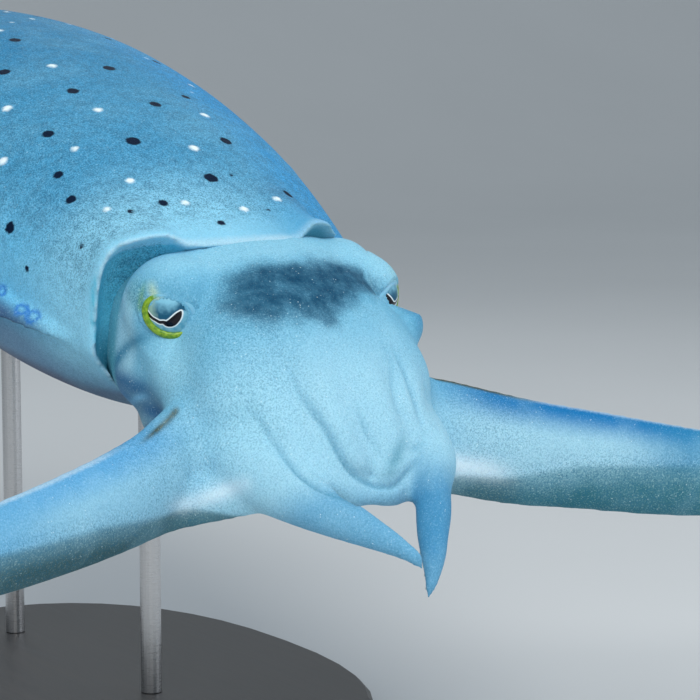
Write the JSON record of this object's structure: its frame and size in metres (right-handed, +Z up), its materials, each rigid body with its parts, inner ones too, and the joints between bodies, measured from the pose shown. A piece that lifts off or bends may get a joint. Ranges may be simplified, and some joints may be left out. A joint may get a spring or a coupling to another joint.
{
  "type": "broadclub cuttlefish",
  "caption": "Life-size still model of a pale blue broadclub cuttlefish, head down, arms folded together but for two spread wide, on a plain display stand.",
  "frame": {"origin": "centre of the underside of the stand's base", "axes": "+X to the animal's left, -Y the way it heads, +Z up"},
  "size_m": [0.4591, 0.4486, 0.2752],
  "materials": {
    "skin": "soft satin skin, pale blue and finely speckled",
    "fin": "soft satin skin, thin and slightly clear at its edge",
    "eye": "glossy, with a dark wavy pupil",
    "beak": "horny, dark and smooth",
    "stand_base": "flat board stained near black, satin",
    "stand_rod": "brushed"
  },
  "bodies": {
    "root": {"arm_1_left_base": "skin", "arm_1_left_tip": "skin", "arm_1_right_base": "skin", "arm_1_right_tip": "skin", "arm_2_left_base": "skin", "arm_2_left_tip": "skin", "arm_2_right_base": "skin", "arm_2_right_tip": "skin", "arm_3_left_base": "skin", "arm_3_left_tip": "skin", "arm_3_right_base": "skin", "arm_3_right_tip": "skin", "arm_4_left_base": "skin", "arm_4_left_middle": "skin", "arm_4_left_tip": "skin", "arm_4_right_base": "skin", "arm_4_right_middle": "skin", "arm_4_right_tip": "skin", "beak": "beak", "eye_left": "eye", "eye_right": "eye", "fin_left": "fin", "fin_right": "fin", "funnel": "skin", "head": "skin", "mantle": "skin", "stand_base": "stand_base", "stand_rod_front": "stand_rod", "stand_rod_rear": "stand_rod"}
  },
  "joints": []
}
